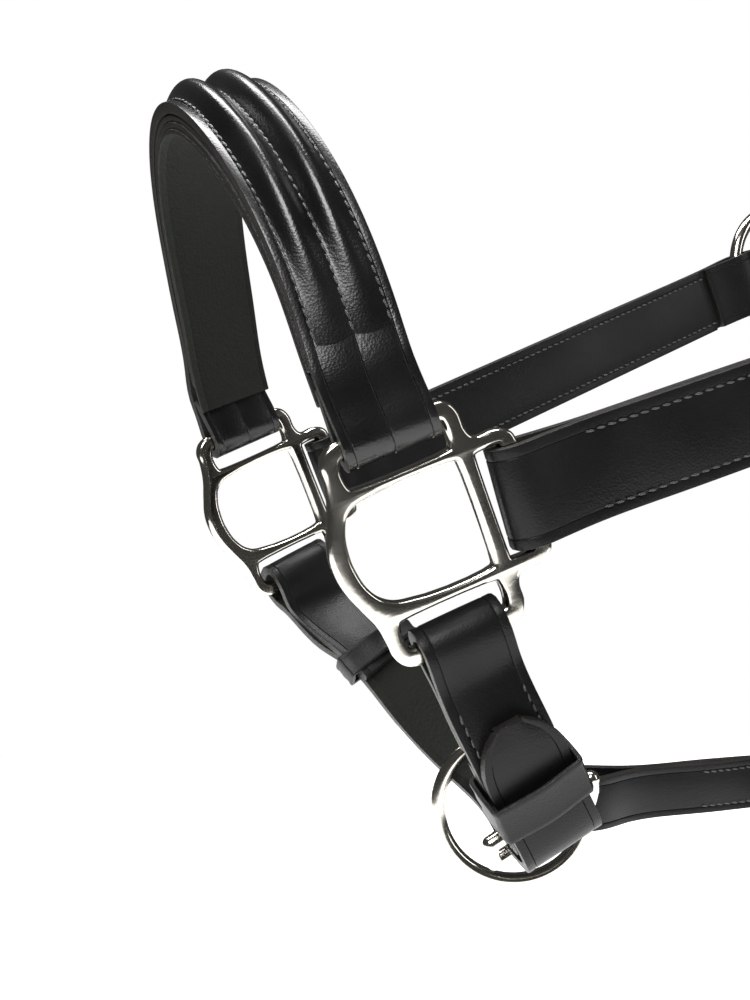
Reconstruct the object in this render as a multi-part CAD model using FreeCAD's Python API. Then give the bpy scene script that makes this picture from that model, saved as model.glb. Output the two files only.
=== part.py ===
import FreeCAD, Part
import math
import os

# Leather headcollar as it sits on a head. Millimetres, +Z up, -X towards the nose, -Y the near side.
# The origin is the poll: the underside of the crownpiece at its middle.

# --- driving dimensions ------------------------------------------------------------------------
CHEEK_PITCH = 21.9            # the cheek line climbs this many degrees towards the poll
POLL_ALONG = 378.0            # from the noseband fittings back to the poll, along the cheek line
POLL_ABOVE = 132.0             # and square to it
FITTING_Y = 64.4              # half the distance between the two noseband fittings
FITTING_YAW = 7.9             # each fitting turns outward towards the rear
FITTING_LEAN = 1.2            # and leans out at its top
NEAR_CHEEK_DROP = 3.8         # how far each cheekpiece hangs below the square of its fitting
FAR_CHEEK_DROP = 0.5

LEATHER = 3.0                 # one layer of strap leather
GAP = 0.3                     # air between pieces that only lie on each other
PLATE = 4.5                   # thickness of the cast fittings
NOSE_W = 23.0                 # noseband strap at the fittings
NOSE_GROWS = 1.0              # and this much wider over the nose
CHEEK_W = 24.6
CHIN_W = 21.5
THROAT_W = 17.5
JOWL_W = 15.5

WINDOW_HALF = 13.4            # half height of the fitting's window
WINDOW_REAR = 10.0            # its rear edge
RAIL = 3.4                    # bars round the window
ARM_REACH = 28.0              # top and bottom arms, outer face
ARM_BAR = 4.4                 # bar each strap folds round
ARM_REAR = 12.6
CHEEK_ARM = 25.0              # rear arm, outer face

RING_R = 22.7                 # chin ring, middle of the wire
RING_WIRE = 2.3
RING_ALONG = 16.5             # chin ring centre, from the fittings
RING_BELOW = -105.0
RING_TURN = 22.0              # the ring is drawn round to face forward a little

CHEEK_LEN = 250.0             # fitting centre to throat ring centre
THROAT_RING_R = 24.0
THROAT_RING_WIRE = 2.5
BUCKLE_WIRE = 2.1
BUCKLE_LEN = 24.0
BUCKLE_WIDE = 34.0

V = FreeCAD.Vector
UP = math.radians(CHEEK_PITCH)
ALONG = V(math.cos(UP), 0, math.sin(UP))
ABOVE = V(-math.sin(UP), 0, math.cos(UP))
ACROSS = V(0, 1, 0)
FITTINGS = ALONG * -POLL_ALONG - ABOVE * POLL_ABOVE


def spot(u, v, y):
    """u back along the cheek line, v up the face, y across, from midway between the fittings."""
    return FITTINGS + ALONG * u + ABOVE * v + ACROSS * y


class Plane:
    """A flat local frame: a runs one way, b the other, n points out of the plane."""

    def __init__(self, origin, a, n):
        self.o = V(origin)
        self.a = V(a).normalize()
        self.n = V(n) - self.a * V(n).dot(self.a)
        self.n.normalize()
        self.b = self.n.cross(self.a)

    def at(self, a, b, n=0.0):
        return self.o + self.a * a + self.b * b + self.n * n


def side_plane(side, drop=0.0, pivot=0.0):
    """Plane of a fitting: a back along the cheek, b up, n away from the head. side is -1 near, 1 far.
    A strap that drops turns about its own bar, pivot back from the fitting's centre."""
    yaw = math.radians(FITTING_YAW)
    lean = math.radians(FITTING_LEAN)
    back = ALONG * math.cos(yaw) + ACROSS * (side * math.sin(yaw))
    up = ABOVE * math.cos(lean) + ACROSS * (side * math.sin(lean))
    out = back.cross(up) if side < 0 else up.cross(back)
    turned = back * math.cos(math.radians(drop)) - up * math.sin(math.radians(drop))
    plane = Plane(spot(0, 0, side * FITTING_Y) + (back - turned) * pivot, turned, out)
    if side > 0:
        plane.b = plane.b * -1
    return plane


def polygon(points):
    return Part.makePolygon(points + [points[0]])


def slab(plane, outline, low, high):
    """Prism over an outline of (a, b) points between two heights along n."""
    face = Part.Face(polygon([plane.at(a, b, low) for a, b in outline]))
    return face.extrude(plane.n * (high - low))


def curve_through(points):
    curve = Part.BSplineCurve()
    curve.interpolate(points)
    return curve


def loft(wires):
    solid = Part.makeLoft(wires, True, False)
    if solid.Volume < 0:
        turned = [polygon([v.Point for v in w.OrderedVertexes][::-1]) for w in wires]
        solid = Part.makeLoft(turned, True, False)
    return solid


def band(points, across, widths, low, high, stations, outward=1.0, span=(0.0, 1.0)):
    """Flat strap along a curve. across(t) is the width direction, widths(t) the width, and
    low and high are the two faces, measured outward from the curve."""
    curve = curve_through(points)
    first, last = curve.FirstParameter, curve.LastParameter
    wires = []
    for i in range(stations):
        t = span[0] + (span[1] - span[0]) * i / (stations - 1.0)
        here = first + (last - first) * t
        c = curve.value(here)
        tangent = V(*curve.tangent(here)[0])
        wide = across(t)
        wide = wide - tangent * wide.dot(tangent)
        wide.normalize()
        out = wide.cross(tangent) * outward
        half = widths(t) / 2.0
        corners = [c - wide * half + out * low, c + wide * half + out * low,
                   c + wide * half + out * high, c - wide * half + out * high]
        wires.append(polygon(corners))
    return loft(wires)


def half_round(points, across, offset, width, rise, low, stations, outward, span):
    """Raised roll: a half-round section that grows from nothing and fades out again."""
    curve = curve_through(points)
    first, last = curve.FirstParameter, curve.LastParameter
    wires = []
    for i in range(stations):
        s = i / (stations - 1.0)
        t = span[0] + (span[1] - span[0]) * s
        here = first + (last - first) * t
        tangent = V(*curve.tangent(here)[0])
        wide = across(t)
        wide = wide - tangent * wide.dot(tangent)
        wide.normalize()
        out = wide.cross(tangent) * outward
        swell = 0.25 + 0.75 * min(1.0, math.sin(math.pi * s) * 1.6)
        c = curve.value(here) + wide * offset(t) + out * low
        half = width(t) / 2.0 * swell
        ring = []
        for k in range(7):
            angle = math.pi * k / 6.0
            ring.append(c + wide * (half * math.cos(angle)) + out * (rise * swell * math.sin(angle)))
        wires.append(polygon(ring))
    return loft(wires)


def tube(points, radius):
    """Round wire along straight runs, with a ball at every bend."""
    solids = []
    for a, b in zip(points[:-1], points[1:]):
        solids.append(Part.makeCylinder(radius, (b - a).Length, a, b - a))
    for p in points[1:-1]:
        solids.append(Part.makeSphere(radius, p))
    return solids[0].fuse(solids[1:]).removeSplitter()


def closed_wire_loop(points, radius):
    return tube(points + [points[0], points[1]], radius)


def save(name, shape):
    solids = shape.Solids
    shape = solids[0] if len(solids) == 1 else Part.makeCompound(solids)
    shape.exportStep("parts/%s.step" % name)
    print(name, len(solids), shape.isValid(), round(shape.Volume))


os.makedirs("parts", exist_ok=True)
NEAR = side_plane(-1)
FAR = side_plane(1)


# --- cast fittings -----------------------------------------------------------------------------
FRONT_BAR = [(-17.0, 27.6), (-20.0, 24.8), (-20.5, 20.5), (-21.6, 15.5), (-23.8, 10.0), (-25.6, 5.0), (-26.0, 0.0),
             (-25.1, -5.5), (-23.0, -11.0), (-21.0, -16.0), (-20.2, -21.0), (-19.6, -25.0), (-17.0, -27.6)]
WINDOW_FRONT = [(-14.0, -12.6), (-17.2, -10.4), (-19.8, -6.8), (-21.2, -1.5), (-21.3, 3.0), (-20.0, 8.6),
                (-17.4, 12.2), (-14.0, 13.3)]
SLOT_FRONT = -15.9
SLOT_REAR = 9.4
CHEEK_HALF = 13.1             # half height of the slot behind the cheekpiece's arm


def fitting(plane):
    """Casting with a window, a bowed front bar that swings into two ears, and three strap arms."""
    foot = -PLATE / 2

    def curve(points):
        made = Part.BSplineCurve()
        made.interpolate([plane.at(a, b, foot) for a, b in points])
        return made.toShape()

    def lines(points):
        made = [plane.at(a, b, foot) for a, b in points]
        return [Part.LineSegment(p, q).toShape() for p, q in zip(made[:-1], made[1:])]

    def solid(edges):
        return Part.Face(Part.Wire(edges)).extrude(plane.n * PLATE)

    notch = WINDOW_HALF + RAIL
    rail_rear = WINDOW_REAR + RAIL + 1.0
    rim = [FRONT_BAR[-1], (-15.0, -ARM_REACH), (ARM_REAR - 1.5, -ARM_REACH), (rail_rear, -24.5),
           (rail_rear + 0.6, -notch - 0.6), (CHEEK_ARM - 3.5, -notch), (CHEEK_ARM, -CHEEK_HALF),
           (CHEEK_ARM, CHEEK_HALF), (CHEEK_ARM - 3.5, notch), (rail_rear + 0.6, notch + 0.6), (rail_rear, 24.5),
           (ARM_REAR - 1.5, ARM_REACH), (-15.0, ARM_REACH), FRONT_BAR[0]]
    body = solid([curve(FRONT_BAR)] + lines(rim))
    window = [WINDOW_FRONT[-1], (WINDOW_REAR, WINDOW_HALF), (WINDOW_REAR, -WINDOW_HALF), WINDOW_FRONT[0]]
    body = body.cut(solid([curve(WINDOW_FRONT)] + lines(window)))
    inner = ARM_REACH - ARM_BAR
    for sign in (1, -1):
        slot = [(SLOT_FRONT, notch * sign), (SLOT_REAR, notch * sign), (SLOT_REAR, inner * sign),
                (SLOT_FRONT, inner * sign)]
        body = body.cut(slab(plane, slot, -PLATE, PLATE))
    arm = CHEEK_ARM - ARM_BAR
    return body.cut(slab(plane, [(rail_rear, CHEEK_HALF), (arm, CHEEK_HALF), (arm, -CHEEK_HALF),
                                 (rail_rear, -CHEEK_HALF)], -PLATE, PLATE))


save("near_fitting", fitting(NEAR))
save("far_fitting", fitting(FAR))


# --- folded strap ends -------------------------------------------------------------------------
def loop_end(plane, bar, reach, width, along, hole_half, hole_long, layer=LEATHER, mid=0.0, taper=14.0):
    """Strap folded round a bar, seen edge on: a long bulb with a hole, tapering to two closed layers.

    The bar is at distance bar along the strap and the layers run to reach. along names the plane's
    direction that the bar lies in."""
    out = hole_half + layer
    back = bar - hole_long / 2.0
    front = bar + hole_long / 2.0
    sign = 1.0 if reach > bar else -1.0
    if sign < 0:
        back, front = front, back
    outline = [(back - sign * layer, -out * 0.55), (back - sign * layer * 0.3, -out), (front, -out),
               (front + sign * taper, -layer), (reach, -layer), (reach, layer), (front + sign * taper, layer),
               (front, out), (back - sign * layer * 0.3, out), (back - sign * layer, out * 0.55)]
    hole = [(back, -hole_half), (front, -hole_half), (front + sign * taper * 0.7, 0.0), (front, hole_half),
            (back, hole_half)]

    def prism(points, half):
        pts = [plane.at(a, mid - half, n) if along == "b" else plane.at(mid - half, a, n) for a, n in points]
        way = plane.b if along == "b" else plane.a
        return Part.Face(polygon(pts)).extrude(way * (2 * half))

    return prism(outline, width / 2.0).cut(prism(hole, width))


BAR_HOLE = PLATE / 2.0 + GAP
BAR_LONG = ARM_BAR + 0.8
BAR_AT = ARM_REACH - ARM_BAR / 2.0
SLOT_MID = -3.2

# --- noseband ----------------------------------------------------------------------------------
# Arch from fitting to fitting. Going up it drifts back a little and its rear edge settles lower.
NOSE_HALF = [(-3.2, 33.0, 65.1), (-2.6, 42.0, 63.5), (0.0, 61.5, 58.0), (2.2, 83.0, 48.0), (3.4, 102.5, 31.0),
             (4.0, 113.2, 12.0)]
NOSE_PATH = [spot(u, v, -y) for u, v, y in NOSE_HALF]
NOSE_PATH += [spot(u, v, y) for u, v, y in reversed(NOSE_HALF)]
NOSE_TILT = 2.0
PADDING = 5.0                 # soft layers under the noseband strap
ROLL_RISE = 3.2


def nose_across(t):
    swing = math.cos(math.pi * t)
    yaw = math.radians(FITTING_YAW) * swing
    tip = math.radians(NOSE_TILT) * math.sin(math.pi * t)
    level = ALONG * math.cos(tip) - ABOVE * math.sin(tip)
    return level * math.cos(yaw) - ACROSS * math.sin(yaw)


def nose_width(t):
    return NOSE_W + NOSE_GROWS * math.sin(math.pi * t) ** 2


nose = band(NOSE_PATH, nose_across, nose_width, 0.0, LEATHER, 25)
for plane in (NEAR, FAR):
    nose = nose.fuse(loop_end(plane, BAR_AT, 40.0, NOSE_W, "a", BAR_HOLE, BAR_LONG, mid=SLOT_MID))
save("noseband_strap", nose.removeSplitter())

lining = band(NOSE_PATH, nose_across, lambda t: nose_width(t) + 1.5, -GAP - PADDING, -GAP, 25, span=(0.05, 0.95))
save("noseband_lining", lining)


def roll_offset(sign):
    return lambda t: sign * nose_width(t) * 0.18


def roll_width(t):
    return nose_width(t) * 0.34


for name, sign in (("noseband_front_roll", -1), ("noseband_rear_roll", 1)):
    save(name, half_round(NOSE_PATH, nose_across, roll_offset(sign), roll_width, ROLL_RISE, LEATHER + GAP, 25, 1.0,
                          (0.08, 0.92)))


# --- cheekpieces and throat rings --------------------------------------------------------------
def torus(centre, axis, radius, wire):
    return Part.makeTorus(radius, wire, centre, axis)


CHEEK_BAR = CHEEK_ARM - ARM_BAR / 2.0
RING_SAG = THROAT_RING_R - math.sqrt(THROAT_RING_R ** 2 - (CHEEK_W / 2.0) ** 2)
RING_HOLE = THROAT_RING_WIRE + GAP
RING_LONG = 2 * THROAT_RING_WIRE + RING_SAG + 1.8


def cheek(plane):
    """Doubled strap: round the fitting's rear arm at one end, round the throat ring at the other."""
    ring_side = CHEEK_LEN - THROAT_RING_R + RING_SAG / 2.0
    first = loop_end(plane, CHEEK_BAR, 120.0, CHEEK_W, "b", BAR_HOLE, BAR_LONG + 1.6)
    last = loop_end(plane, ring_side, 119.0, CHEEK_W, "b", RING_HOLE, RING_LONG)
    return first.fuse(last).removeSplitter()


CHEEKS = {"near": side_plane(-1, NEAR_CHEEK_DROP, CHEEK_BAR), "far": side_plane(1, FAR_CHEEK_DROP, CHEEK_BAR)}
for side, plane in CHEEKS.items():
    save(side + "_cheekpiece", cheek(plane))
    save(side + "_throat_ring", torus(plane.at(CHEEK_LEN, 0), plane.n, THROAT_RING_R, THROAT_RING_WIRE))

# --- crown buckles on short chapes -------------------------------------------------------------
SKIVED = 2.2                  # leather thinned where it turns round a buckle
CHAPE_TURN = 50.0             # the chape leaves the ring at this angle to the cheek
CHAPE_LEN = 92.0              # ring centre to the buckle's heel bar
CROWN_LEAN = 13.0             # and it leans in over the head


def buckle(plane, heel, length=BUCKLE_LEN):
    """Frame with a straight heel bar at a = heel and a bowed front bar, and a tongue on the heel bar."""
    half = BUCKLE_WIDE / 2.0 - BUCKLE_WIRE
    points = [plane.at(heel, -half), plane.at(heel + length * 0.5, -half - 0.5, 0.8),
              plane.at(heel + length, -half, 1.6), plane.at(heel + length, half, 1.6),
              plane.at(heel + length * 0.5, half + 0.5, 0.8), plane.at(heel, half)]
    frame = closed_wire_loop(points, BUCKLE_WIRE)
    eye = Part.makeCylinder(BUCKLE_WIRE + 1.9, 4.6, plane.at(heel, -2.3), plane.b)
    eye = eye.cut(Part.makeCylinder(BUCKLE_WIRE + 0.06, 8.0, plane.at(heel, -4.0), plane.b))
    shaft = tube([plane.at(heel + 3.2, 0, 1.4), plane.at(heel + 8.0, 0, 6.2), plane.at(heel + length + 2.4, 0, 5.75)],
                 1.55)
    return frame, eye.fuse(shaft).removeSplitter()


def chape_plane(plane, to_wire):
    """The chape hinges on the ring's wire, to_wire from the ring's centre, where its lean begins."""
    turn = math.radians(CHAPE_TURN)
    lean = math.radians(CROWN_LEAN)
    level = plane.a * math.cos(turn) + plane.b * math.sin(turn)
    a = level * math.cos(lean) - plane.n * math.sin(lean)
    return Plane(plane.at(CHEEK_LEN, 0) + (level - a) * to_wire, a, plane.n)


CHAPES = {}
for side, plane in CHEEKS.items():
    ring_side = THROAT_RING_R - RING_SAG / 2.0
    up = chape_plane(plane, ring_side)
    CHAPES[side] = up
    low = loop_end(up, ring_side, 58.0, CHEEK_W, "b", RING_HOLE + 0.9, RING_LONG)
    top = loop_end(up, CHAPE_LEN, 57.0, CHEEK_W, "b", BUCKLE_WIRE + GAP, 2 * BUCKLE_WIRE + 0.8, SKIVED, 0.0, 10.0)
    top = top.fuse(slab(up, [(57.0, -CHEEK_W / 2.0), (78.0, -CHEEK_W / 2.0), (78.0, CHEEK_W / 2.0),
                             (57.0, CHEEK_W / 2.0)], -LEATHER, LEATHER))
    chape = low.fuse(top)
    notch = slab(up, [(CHAPE_LEN - 7.5, -2.8), (CHAPE_LEN + 9.0, -2.8), (CHAPE_LEN + 9.0, 2.8),
                      (CHAPE_LEN - 7.5, 2.8)], -9.0, 9.0)
    save(side + "_buckle_chape", chape.cut(notch).removeSplitter())
    frame, tongue = buckle(up, CHAPE_LEN)
    save(side + "_crown_buckle", frame)
    save(side + "_crown_tongue", tongue)

# --- crownpiece --------------------------------------------------------------------------------
BILLET_TIP = 44.0             # the billet's tip, measured along the chape from the ring
HOLE_STEP = 22.0
CROWN_LIFT = 4.3              # middle of the crown strap above the underside of its lining
SEAT = -2.4                   # height of the billet where it passes under the front bar


def strip(plane, run, width, half=LEATHER / 2.0):
    """Strap of even thickness following (a, n) points, as wide as width along b."""
    upper, lower = [], []
    for i, (a, n) in enumerate(run):
        before = run[max(i - 1, 0)]
        after = run[min(i + 1, len(run) - 1)]
        slope = math.atan2(after[1] - before[1], after[0] - before[0])
        upper.append((a - half * math.sin(slope), n + half * math.cos(slope)))
        lower.append((a + half * math.sin(slope), n - half * math.cos(slope)))
    points = [plane.at(a, -width / 2.0, n) for a, n in upper + lower[::-1]]
    return Part.Face(polygon(points)).extrude(plane.b * width)


def round_tip(plane, solid, tip, width, way):
    """Trim the last of a strap to a blunt point."""
    nose = width * 0.42
    outline = [(tip - 5.0 * way, -width), (tip + nose * way, -width), (tip + nose * way, -width / 2.0),
               (tip + nose * 0.25 * way, -width * 0.34), (tip, -width * 0.13), (tip, width * 0.13),
               (tip + nose * 0.25 * way, width * 0.34), (tip + nose * way, width / 2.0),
               (tip + nose * way, width), (tip - 5.0 * way, width)]
    return solid.cut(slab(plane, outline, -20.0, 20.0))


crown_run = [(BILLET_TIP, 4.9), (68.0, 4.9), (78.0, 5.6), (87.0, 7.3), (93.0, 7.2), (98.0, 5.6), (111.0, -0.9),
             (116.0, SEAT), (124.0, SEAT - 0.4)]
near_up, far_up = CHAPES["near"], CHAPES["far"]
CROWN_HALF = [(348.0, 101.0, 68.0), (367.0, 121.5, 38.0)]
crown_path = [near_up.at(122, 0, SEAT - 0.4 - CROWN_LIFT), near_up.at(130, 0, SEAT - 0.4 - CROWN_LIFT)]
crown_path += [spot(u, v, -y) for u, v, y in CROWN_HALF] + [V(0, 0, 0)]
crown_path += [spot(u, v, y) for u, v, y in reversed(CROWN_HALF)]
crown_path += [far_up.at(130, 0, SEAT - 0.4 - CROWN_LIFT), far_up.at(122, 0, SEAT - 0.4 - CROWN_LIFT)]


def crown_across(t):
    top = ABOVE * 0.66 - ALONG * 0.75
    near_wide, far_wide = near_up.b, far_up.b * -1
    if t < 0.5:
        return near_wide * (1 - 2 * t) + top * (2 * t)
    return top * (2 - 2 * t) + far_wide * (2 * t - 1)


def crown_width(t):
    return CHEEK_W + 7.0 * math.sin(math.pi * t) ** 2


half = LEATHER / 2.0
crown = band(crown_path, crown_across, crown_width, CROWN_LIFT - half, CROWN_LIFT + half, 21, -1.0)
holes = []
for up in (near_up, far_up):
    end = round_tip(up, strip(up, crown_run, CHEEK_W), BILLET_TIP, CHEEK_W, 1.0)
    crown = crown.fuse(end)
    holes.append(slab(up, [(94.0, -2.2), (106.0, -2.2), (106.0, 2.2), (94.0, 2.2)], -12.0, 12.0))
    for step in (-2, 1):
        at = 100.0 + HOLE_STEP * step
        holes.append(Part.makeCylinder(2.0, 30.0, up.at(at, 0, -15.0), up.n))
save("crown_strap", crown.cut(holes).removeSplitter())
save("crown_lining", band(crown_path, crown_across, lambda t: crown_width(t) + 2.0, 0.0,
                          CROWN_LIFT - half - GAP, 17, -1.0, span=(0.14, 0.86)))


def keeper(plane, start, stop, low, high, width, wall=2.0):
    """Leather band round a stack of straps."""
    half_in = width / 2.0 + GAP
    shape = slab(plane, [(start, -half_in - wall), (stop, -half_in - wall), (stop, half_in + wall),
                         (start, half_in + wall)], low - GAP - wall, high + GAP + wall)
    hole = slab(plane, [(start - 5, -half_in), (stop + 5, -half_in), (stop + 5, half_in), (start - 5, half_in)],
                low - GAP, high + GAP)
    return shape.cut(hole)


for side, up in CHAPES.items():
    save(side + "_crown_keeper", keeper(up, 70.0, 77.0, -LEATHER, 7.3, CHEEK_W))
    save(side + "_crown_runner", keeper(up, 50.0, 57.0, -LEATHER, 6.5, CHEEK_W))

# --- chin straps, ring and buckle --------------------------------------------------------------
ring_centre = spot(RING_ALONG, RING_BELOW, 0)
turn = math.radians(RING_TURN)
ring_axis = V(math.sin(turn), math.cos(turn), 0)
save("chin_ring", torus(ring_centre, ring_axis, RING_R, RING_WIRE))

near_bar = NEAR.at(SLOT_MID, -BAR_AT)
far_bar = FAR.at(SLOT_MID, -BAR_AT)
A_PATH = [near_bar, spot(-3.2, -40.0, -66.0), spot(-2.6, -52.0, -67.6), spot(-1.0, -64.0, -65.6),
          spot(1.5, -77.0, -61.0)]
heel_spot = A_PATH[-1]


def strap_plane(bar, toward, bar_way, outward):
    """a runs along the strap away from its bar, b along the bar, n away from the head."""
    made = Plane(bar, toward - bar, outward)
    if made.b.dot(bar_way) < 0:
        made.b = made.b * -1
    return made


near_start = strap_plane(near_bar, A_PATH[1], NEAR.a, NEAR.n)
heel = strap_plane(heel_spot, heel_spot + (heel_spot - A_PATH[-2]), NEAR.a, NEAR.n)


def chin_across(t):
    return near_start.b * (1 - t) + heel.b * t


LEVEL = 15.0                  # folded ends stay flat this far before the strap starts to curve
body_path = [near_start.at(LEVEL - 3, 0), near_start.at(LEVEL + 2, 0), A_PATH[2], A_PATH[3],
             heel.at(-LEVEL + 1.5, 0), heel.at(-LEVEL + 5, 0)]
near_chin = band(body_path, chin_across, lambda t: CHIN_W, -LEATHER, LEATHER, 13)
near_chin = near_chin.fuse(loop_end(near_start, 0.0, LEVEL, CHIN_W, "b", BAR_HOLE + 0.5, BAR_LONG + 0.8, taper=8.0))
heel_loop = loop_end(heel, 0.0, -LEVEL, CHIN_W, "b", BUCKLE_WIRE + GAP, 2 * BUCKLE_WIRE + 0.8, SKIVED, 0.0, 8.0)
near_chin = near_chin.fuse(heel_loop)
near_chin = near_chin.cut(slab(heel, [(-7.0, -2.8), (9.0, -2.8), (9.0, 2.8), (-7.0, 2.8)], -9.0, 9.0))
save("near_chin_strap", near_chin.removeSplitter())

CHIN_BUCKLE = 21.0
CHIN_FOLD = math.radians(33.0)          # the buckle turns under the jaw from the strap that holds it
frame_way = heel.a * math.cos(CHIN_FOLD) - heel.n * math.sin(CHIN_FOLD)
frame_out = heel.n * math.cos(CHIN_FOLD) + heel.a * math.sin(CHIN_FOLD)
chin_frame_plane = Plane(heel_spot, frame_way, frame_out)
if chin_frame_plane.b.dot(heel.b) < 0:
    chin_frame_plane.b = chin_frame_plane.b * -1
chin_frame, chin_tongue = buckle(chin_frame_plane, 0.0, CHIN_BUCKLE)
save("chin_buckle_frame", chin_frame)
save("chin_buckle_tongue", chin_tongue)

# The billet leaves the far fitting, goes through the ring and up through the buckle, and ends over the
# near strap.
BILLET_RISE = LEATHER + GAP + half      # its middle above the middle of the near strap


def over(plane, a, rise):
    return plane.at(a, 0, rise)


far_toward = spot(-1.7, -39.0, 56.0)
far_start = strap_plane(far_bar, far_toward, FAR.a, FAR.n)
frame_at = chin_frame_plane
BILLET = [far_start.at(LEVEL - 4, 0), far_start.at(LEVEL + 1, 0), spot(5.0, -53.0, 41.0), spot(9.0, -70.0, 27.5),
          spot(14.2, -88.0, 14.0), spot(17.0, -99.0, -2.0), spot(13.5, -102.5, -18.0),
          frame_at.at(CHIN_BUCKLE + 7.0, 0, -4.6), frame_at.at(CHIN_BUCKLE, 0, -2.6), frame_at.at(12.0, 0, 3.2),
          over(heel, 4.5, 7.9), over(heel, -2.5, 8.0), over(heel, -9.5, 6.7), over(heel, -16.0, BILLET_RISE + 0.8)]
TIP_RISE = BILLET_RISE + 1.7
BILLET += [spot(-2.2, -54.5, -67.2) + (heel.n + near_start.n) * (TIP_RISE / 2.0)]
BILLET += [spot(-2.8, -47.5, -67.6) + near_start.n * TIP_RISE]


def blend(keys, t):
    """Width direction between keys of (t, direction)."""
    for (t0, d0), (t1, d1) in zip(keys[:-1], keys[1:]):
        if t <= t1:
            share = (t - t0) / (t1 - t0)
            return d0 * (1 - share) + d1 * share
    return keys[-1][1]


WIDE_KEYS = [(0.0, far_start.b), (0.08, far_start.b), (0.6, frame_at.b), (0.8, heel.b), (0.88, heel.b),
             (1.0, near_start.b)]


def billet_across(t):
    return blend(WIDE_KEYS, t)


billet = band(BILLET, billet_across, lambda t: CHIN_W, -half, half, 45, 1.0)
under_layer = band(BILLET, billet_across, lambda t: CHIN_W, -half - LEATHER, -half + 0.2, 9, 1.0, span=(0.0, 0.2))
billet = billet.fuse(under_layer)
far_fold = loop_end(far_start, 0.0, LEVEL, CHIN_W, "b", BAR_HOLE + 1.7, BAR_LONG + 2.6, taper=7.0)
billet = billet.fuse(far_fold)
billet = billet.cut(slab(frame_at, [(1.5, -2.1), (15.0, -2.1), (15.0, 2.1), (1.5, 2.1)], -1.0, 14.0))
save("far_chin_strap", billet.removeSplitter())

save("near_chin_keeper", keeper(heel, -18.5, -7.5, -LEATHER - 1.0, 9.4, CHIN_W + 1.8, 1.6))
keeper_far = strap_plane(spot(5.0, -53.0, 41.0), spot(9.0, -70.0, 27.5), FAR.a, FAR.n)
save("far_chin_keeper", keeper(keeper_far, -2.0, 6.0, -half - LEATHER - 1.0, half + 1.0, CHIN_W + 2.4, 1.6))

# --- throat strap, snap and the strap under the jaw ---------------------------------------------
THROAT_LOW = spot(188.0, -178.0, 0.0)
DOWN = V(0, 0, -1)
SNAP_EYE = 72.0               # ring centre to the eye bar of the snap
THROAT_FLAT = 12.0


def drop_plane(side):
    plane = CHEEKS[side]
    hang = DOWN - plane.n * plane.n.dot(DOWN)
    return Plane(plane.at(CHEEK_LEN, 0), hang, plane.n)


near_drop, far_drop = drop_plane("near"), drop_plane("far")


def bottom_curve(start, angle):
    """Point of the quarter ellipse from a hanging start down to the lowest point."""
    phi = math.radians(angle)
    reach = start - THROAT_LOW
    return V(THROAT_LOW.x + reach.x * math.cos(phi), reach.y * math.cos(phi),
             start.z + (THROAT_LOW.z - start.z) * math.sin(phi))


near_hang = near_drop.at(SNAP_EYE + 30.0, 0)
far_hang = far_drop.at(62.0, 0)
throat_path = [near_drop.at(SNAP_EYE + 22.0, 0), near_hang]
throat_path += [bottom_curve(near_hang, angle) for angle in (35, 65)]
throat_path += [THROAT_LOW - V(0, THROAT_FLAT, 0), THROAT_LOW, THROAT_LOW + V(0, THROAT_FLAT, 0)]
throat_path += [bottom_curve(far_hang, angle) for angle in (65, 35)] + [far_hang, far_drop.at(54.0, 0)]
throat = band(throat_path, lambda t: V(1, 0, 0), lambda t: THROAT_W, -half, half, 31, 1.0)
ring_side = THROAT_RING_R - RING_SAG / 2.0
throat = throat.fuse(loop_end(far_drop, ring_side, 56.0, THROAT_W, "b", RING_HOLE, RING_LONG))
throat = throat.fuse(loop_end(near_drop, SNAP_EYE, SNAP_EYE + 24.0, THROAT_W, "b", 2.3, 4.8, taper=9.0))
save("throat_strap", throat.removeSplitter())

JOWL_LIFT = 3.0               # the strap leaves the ring a little above its middle
SAG = RING_R - math.sqrt(RING_R ** 2 - (JOWL_W / 2.0 + JOWL_LIFT) ** 2)
ring_rear = ring_centre + V(math.cos(turn), -math.sin(turn), 0) * (RING_R - SAG / 2.0) + V(0, 0, JOWL_LIFT)
jowl_front = Plane(ring_rear, V(180.0, 8.5, -8.0), V(0, -1, 0))
jowl_rear = Plane(THROAT_LOW, V(1, 0, -0.03), V(0, 0, 1))
jowl = loop_end(jowl_front, 0.0, 42.0, JOWL_W, "b", RING_WIRE + 1.8, 2 * RING_WIRE + SAG + 2.2)
jowl = jowl.fuse(loop_end(jowl_rear, 0.0, -40.0, JOWL_W, "b", 2.5, THROAT_W + 2.0))
jowl_path = [jowl_front.at(40.0, 0), jowl_front.at(50.0, 0), jowl_front.at(72.0, 0), jowl_front.at(96.0, 0),
             jowl_rear.at(-46.0, 0), jowl_rear.at(-38.0, 0)]


def jowl_across(t):
    turn = math.radians(90.0) * min(1.0, max(0.0, (t - 0.3) / 0.6))
    return V(0, math.sin(turn), math.cos(turn))


jowl = jowl.fuse(band(jowl_path, jowl_across, lambda t: JOWL_W, -LEATHER, LEATHER, 17))
save("jowl_strap", jowl.removeSplitter())

# Bolt snap: a hook round the throat ring, a sliding bolt that closes it and a swivel eye below.
HOOK_WIRE = 2.6
HOOK_HALF = 8.4
BARREL_TOP = 38.0
BARREL_END = 56.0
BOLT_R = 1.9
SWIVEL_R = 2.4
RUN = 0.05                    # running clearance, radial


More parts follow.
